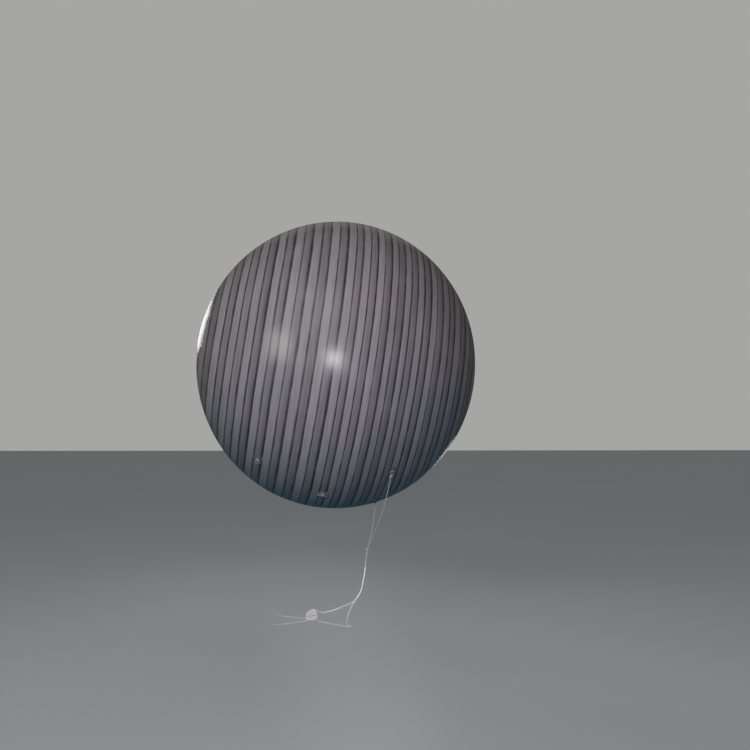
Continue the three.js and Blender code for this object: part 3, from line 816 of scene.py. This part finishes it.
class BALLOON_OT_gores(bpy.types.Operator):
    """Makes the twelve gores of printed film, each lapped over the next one."""

    bl_idname = "balloon.gores"
    bl_label = "Film gores"
    rows, columns = 181, 40

    def execute(self, context):
        film = context.scene.balloon_film
        finish = printed_film(film)
        for number in range(GORES):
            name = f"gore_{number + 1:02d}"
            put_piece(f"film_{name}", [self.gore(number, film)], finish, [name], 30)
        return {"FINISHED"}

    def gore(self, number, film):
        """One gore as a closed shell of film.

        A row is a loop round the gore's section at one polar angle. Its points lie a share of the gore's
        width plus some millimetres past the first seam, at the film's relief plus some millimetres: the outer
        face, the lap over the next gore and back under it, and the inner face a wall's thickness inside.
        """
        past = [-1.5, 0, 3, 9, 11.6, 12, 11.7, 9, 0.4, -0.15]
        step = [0.05, 0.12, 0.15, 0.15, 0.13, 0.09, 0.05, 0.03, 0.02, 0.01]
        outer, lap, inner = self.columns, len(past), 7
        share = np.concatenate([np.linspace(0, 1, outer), np.ones(lap), np.linspace(1, 0, inner)])
        extra = np.concatenate([np.linspace(0.15, -4, outer), past, np.linspace(-0.15, 0.15, inner)]) * MM
        lift = np.concatenate([np.zeros(outer), step, np.full(inner, -WALL / MM)]) * MM
        follows = np.concatenate([np.ones(outer + lap), np.zeros(inner)])
        polar = np.linspace(POLE_EDGE, math.pi - POLE_EDGE, self.rows)[:, None]
        reach = EQUATOR_RADIUS * np.sin(polar)
        azimuth = FIRST_SEAM + number * GORE_SPAN + (share * GORE_SPAN * reach + extra) / reach
        height = follows * film_relief(azimuth, polar, film) + lift
        return grid_shell(film_point(azimuth, polar, height), ends=("flat", "flat"))


class BALLOON_OT_pole_discs(bpy.types.Operator):
    """Makes the discs of film welded over the gores' ends at the crown and round the valve.

    They share the gores' finish, so the gores come first.
    """

    bl_idname = "balloon.pole_discs"
    bl_label = "Pole discs"
    sides, lap = 144, 0.0145

    def execute(self, context):
        film = context.scene.balloon_film
        finish = bpy.data.materials["printed_film"]
        put_piece("film_crown", [self.disc(0.0)], finish, ["crown_disc"], 30)
        put_piece("film_base", [self.disc(VALVE_HOLE)], finish, ["base_disc"], 30)
        return {"FINISHED"}

    def disc(self, hole):
        """A disc turned about a pole: its profile goes out over the top, round the lap and back inside.

        At distance d from the axis the polar angle is the arcsine of d / R, from the crown or, with a hole,
        from the base. The top lies on the film and steps up over the gores' ends as 3 r r - 2 r r r, with a
        pressed weld ring near the edge.
        """
        rim = DISC_RADIUS + self.lap
        inside = max(hole, 0.004)
        out = np.concatenate([np.linspace(inside, 0.100, 14), [0.103, 0.106, 0.109, 0.111]])
        welded = np.array([0.1125, 0.1135, 0.119, 0.120, 0.1225, 0.1240, rim, rim - 0.0002])
        within = DISC_RADIUS - 0.0003
        inner = np.linspace(within, inside, 8)
        radius = np.concatenate([out, welded, [0.118, 0.1112, within], inner])
        rise = np.clip((out - 0.098) / 0.011, 0, 1)
        over = rise**2 * (3 - 2 * rise)
        edge = [1.0, 0.85, 0.85, 1.0, 1.0, 0.95, 0.80, 0.62, 0.58, 0.58, 0.5]
        lift = np.concatenate([over, edge, np.full(len(inner), -WALL / MM)]) * MM
        polar = np.arcsin(radius / EQUATOR_RADIUS)[:, None]
        azimuth = np.linspace(0, 2 * math.pi, self.sides, endpoint=False)[None]
        if hole:
            return grid_shell(film_point(azimuth, math.pi - polar, lift[:, None]), ring=True)
        tips = [film_point(0.0, 0.0, height) for height in (0.0, -WALL)]
        return grid_shell(film_point(azimuth, polar, lift[:, None]), ends=tips)


class BALLOON_OT_patches(bpy.types.Operator):
    """Makes the clear round patches that hold the tether straps to the film."""

    bl_idname = "balloon.patches"
    bl_label = "Tether patches"

    def execute(self, context):
        film, fittings = context.scene.balloon_film, context.scene.balloon_fittings
        finish = clear_film(fittings)
        for name in TETHERS:
            shell = self.patch(tether(name), film, fittings.patch_thickness)
            put_piece(f"patch_film_{name}", [shell], finish, [f"patch_{name}"], 50)
        return {"FINISHED"}

    def patch(self, place, film, thickness):
        """A round patch that follows the film: its profile goes out over the top, round the edge and back.

        A point d from the foot in the direction v is foot + d (cos v across + sin v along), brought onto the
        film by its azimuth, and by its polar angle, whose tangent is its distance from the axis over z R / P.
        """
        outermost = 40
        radius = [4, 12, 20, 28, 32, 33.2, 34.2, 37.6, 38.6, 39.3, 39.8, outermost, 39.8, 34, 22, 12, 4]
        radius = np.array(radius) * MM
        top = [1, 1, 1, 1, 1, 0.96, 0.82, 0.82, 0.9, 0.82, 0.6, 0.35]
        lift = np.concatenate([np.array(top) * thickness, np.full(5, 0.0001)])
        way = np.linspace(0, 2 * math.pi, 72, endpoint=False)[None, :, None]
        across, along, _ = place["strap"]
        spread = radius[:, None, None] * (np.cos(way) * across + np.sin(way) * along)
        points = self.on_film(place["foot"] + spread, lift[:, None], film)
        tips = [self.on_film(place["foot"][None], np.array([h]), film)[0] for h in (lift[0], lift[-1])]
        return grid_shell(points, ends=tips, along=radius / (outermost * MM))

    def on_film(self, points, lift, film):
        """Points brought onto the film, a height over its relief."""
        own = points @ OWN_AXES
        azimuth = np.arctan2(own[..., 1], own[..., 0])
        polar = np.arctan2(np.hypot(own[..., 0], own[..., 1]) / EQUATOR_RADIUS, own[..., 2] / POLE_RADIUS)
        return film_point(azimuth, polar, film_relief(azimuth, polar, film) + lift)


class BALLOON_OT_straps(bpy.types.Operator):
    """Makes the webbing straps: a foot band, and a band over it that loops round the ring's bar."""

    bl_idname = "balloon.straps"
    bl_label = "Tether straps"

    def execute(self, context):
        finish = woven_strap(context.scene.balloon_fittings)
        eye_radius, foot_height = 3.95, 2.45
        left = [(-16, 3.28), (-12.5, 3.27), (-9.5, 3.27), (-7.2, 3.4), (-5.6, 4.05), (-4.5, 5.4)]
        right = [(-y, z) for y, z in reversed(left)]
        arc = np.radians(np.linspace(180, 0, 9))
        over = [(eye_radius * math.cos(a), EYE_HEIGHT / MM + eye_radius * math.sin(a)) for a in arc]
        for name in TETHERS:
            place = tether(name)
            foot = self.band([(y, foot_height) for y in (-16, -8, 0, 8, 16)], 0.68, place)
            loop = self.band(left + over + right, 0.9, place)
            put_piece(f"webbing_{name}", [foot, loop], finish, [f"strap_{name}"])
        return {"FINISHED"}

    def band(self, way, thickness, place):
        """A flat band carried along a line in the strap's Y and Z.

        Its section is the rounded oblong x = w |cos v|^0.3, n = t |sin v|^0.7, with the signs of the cosine
        and the sine, where w and t are half its width and thickness and n runs along the line's normal.
        """
        half_width, step = 12.5, 0.5
        flat = smooth_line([(0, y, z) for y, z in way], step)
        ahead = one_long(np.gradient(flat, axis=0))
        normal = np.stack([ahead[:, 0], -ahead[:, 2], ahead[:, 1]], -1)
        v = np.linspace(0, 2 * math.pi, 29)
        x = half_width * np.sign(np.cos(v)) * np.abs(np.cos(v)) ** 0.3
        n = thickness / 2 * np.sign(np.sin(v)) * np.abs(np.sin(v)) ** 0.7
        section = x[None, :-1, None] * np.array([1.0, 0, 0]) + n[None, :-1, None] * normal[:, None]
        points = set_at(flat[:, None] + section, place["foot"], place["strap"])
        gone = np.linspace(0, (len(flat) - 1) * step * MM, len(flat))
        return grid_shell(points, ends=("flat", "flat"), along=gone, around=x * MM)


class BALLOON_OT_rings(bpy.types.Operator):
    """Makes the four rings of round wire, bent to a D."""

    bl_idname = "balloon.rings"
    bl_label = "Tether rings"

    def execute(self, context):
        finish = ring_steel(context.scene.balloon_fittings)
        for name in TETHERS:
            place = tether(name)
            line = set_at(self.wire(), place["eye"], place["ring"])
            shell = tube_shell(line, WIRE_RADIUS * MM, 20, place["ring"][2])
            body = f"ring_{name}" if name.startswith("left") else "envelope"
            put_piece(f"steel_ring_{name}", [shell], finish, [f"d_ring_{name}"], body=body)
        return {"FINISHED"}

    def wire(self):
        """The ring's centreline in mm: a bar, two round corners, two short legs and a half round bow."""
        half, corner, drop = 15.5, 3.2, 8.0
        bend = np.radians(np.linspace(90, 0, 8))
        right = np.stack([half - corner + corner * np.cos(bend), -corner + corner * np.sin(bend)], -1)
        left = np.stack([-right[::-1, 0], right[::-1, 1]], -1)
        round_it = np.radians(np.linspace(0, -180, 41))
        bow = np.stack([half * np.cos(round_it), -drop + half * np.sin(round_it)], -1)
        bar = np.stack([np.linspace(-9, 9, 7), np.zeros(7)], -1)
        return np.pad(np.concatenate([bar, right, bow, left]), ((0, 0), (0, 1)))


class BALLOON_OT_valve(bpy.types.Operator):
    """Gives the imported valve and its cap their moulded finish."""

    bl_idname = "balloon.valve"
    bl_label = "Valve finish"

    def execute(self, context):
        finish = valve_moulding(context.scene.balloon_fittings)
        for name in ("valve_body", "valve_cap"):
            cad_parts[name].material_slots[0].material = finish
        return {"FINISHED"}


FLOOR_REACH = 60
PINK, ROSY, PLAIN, WARM = (1.0, 0.84, 0.92), (1.0, 0.94, 0.90), (1.0, 0.98, 0.96), (1.0, 0.96, 0.84)
CENTRE, LOW_CORDS = (0, 0, 0), (0.05, -0.3, -1.66)

# The oblong lights, by what their power is called: place, aim, size, colour and the beam's width in degrees
LIGHTS = {
    "front": ((-0.22, -5.9, 0.26), CENTRE, (0.14, 0.14), PINK, 180),
    "window": ((-4.1, -4.6, 1.3), CENTRE, (1.8, 1.8), ROSY, 130),
    "high": ((-1.7, -4.8, 4.1), CENTRE, (5.0, 3.5), WARM, 130),
    "right": ((6.1, -2.2, 0.6), CENTRE, (3.5, 4.0), WARM, 180),
    "top": ((0.0, 5.2, 4.6), CENTRE, (5.0, 3.0), WARM, 180),
    "rim": ((-3.3, 7.2, 1.6), CENTRE, (1.8, 1.0), PLAIN, 45),
    "low": ((1.95, 5.0, -1.32), CENTRE, (1.2, 0.5), PLAIN, 30),
    "cord": ((0.3, -6.0, -1.45), LOW_CORDS, (0.5, 0.12), PLAIN, 11),
}


class BALLOON_OT_stage(bpy.types.Operator):
    """Lays the pale floor and sets the soft studio lights."""

    bl_idname = "balloon.stage"
    bl_label = "Floor and lights"

    def execute(self, context):
        stage = context.scene.balloon_stage
        ways = ((-1, -1), (1, -1), (1, 1), (-1, 1))
        mesh = bpy.data.meshes.new("floor")
        mesh.from_pydata([(x * FLOOR_REACH, y * FLOOR_REACH, FLOOR_Z) for x, y in ways], [], [(0, 1, 2, 3)])
        mesh.materials.append(plain_floor(stage))
        floor = put_object("floor", mesh)
        floor.visible_diffuse = floor.visible_glossy = False
        context.scene.world = self.sky(stage)
        for name, (place, aim, size, colour, beam) in LIGHTS.items():
            power = getattr(stage, f"{name}_power")
            lamp = self.light(f"{name}_light", "AREA", place, aim, power, colour).data
            lamp.shape, lamp.size, lamp.size_y, lamp.spread = "RECTANGLE", *size, math.radians(beam)
        back = self.light("back_light", "SUN", (0.8, 8.0, 3.2), CENTRE, stage.back_strength, PLAIN)
        back.data.angle, back.visible_glossy = math.radians(70), False
        return {"FINISHED"}

    def sky(self, stage):
        """An even backdrop for the camera, and a fill for the object that changes colour from below up."""
        f = Finish("sky", "worlds")
        upward = f.parts(f.place)[2]
        fill = f.mix(stage.low_fill, stage.fill, upward.rise(-0.45, 0.1))
        colour = f.mix(fill, stage.backdrop, f.node("ShaderNodeLightPath", output="Is Camera Ray"))
        return f.ended(f.node("ShaderNodeBackground", None, {"Color": colour}), "ShaderNodeOutputWorld")

    def light(self, name, kind, place, aim, power, colour):
        """A light at a place, turned to face its aim."""
        lamp = bpy.data.lights.new(name, kind)
        lamp.energy, lamp.color = power, colour
        light = put_object(name, lamp)
        light.location = place
        light.rotation_euler = (Vector(aim) - light.location).to_track_quat("-Z", "Y").to_euler()
        return light


SETTINGS = {
    "balloon_film": BALLOON_PG_film,
    "balloon_fittings": BALLOON_PG_fittings,
    "balloon_cords": BALLOON_PG_cords,
    "balloon_stage": BALLOON_PG_stage,
}
STEPS = (
    BALLOON_OT_camera,
    BALLOON_OT_cords,
    BALLOON_OT_gores,
    BALLOON_OT_pole_discs,
    BALLOON_OT_patches,
    BALLOON_OT_straps,
    BALLOON_OT_rings,
    BALLOON_OT_valve,
    BALLOON_OT_stage,
)


class BALLOON_PT_steps(bpy.types.Panel):
    """Lists the steps that dress the balloon, in their order, and the sizes and colours that they use."""

    bl_idname = "BALLOON_PT_steps"
    bl_label = "Balloon"
    bl_space_type = "VIEW_3D"
    bl_region_type = "UI"
    bl_category = "Balloon"

    def draw(self, context):
        for step in STEPS:
            self.layout.operator(step.bl_idname)
        for key, group in SETTINGS.items():
            box = self.layout.box()
            for name in group.__annotations__:
                box.prop(getattr(context.scene, key), name)


CLASSES = (*SETTINGS.values(), *STEPS, BALLOON_PT_steps)


def register():
    for made in CLASSES:
        bpy.utils.register_class(made)
    for key, group in SETTINGS.items():
        setattr(bpy.types.Scene, key, bpy.props.PointerProperty(type=group))


def unregister():
    for key in SETTINGS:
        delattr(bpy.types.Scene, key)
    for made in reversed(CLASSES):
        bpy.utils.unregister_class(made)


def main():
    """Makes every piece in order."""
    register()
    bpy.ops.balloon.camera()
    bpy.ops.balloon.cords()
    bpy.ops.balloon.gores()
    bpy.ops.balloon.pole_discs()
    bpy.ops.balloon.patches()
    bpy.ops.balloon.straps()
    bpy.ops.balloon.rings()
    bpy.ops.balloon.valve()
    bpy.ops.balloon.stage()


if __name__ == "__main__":
    main()
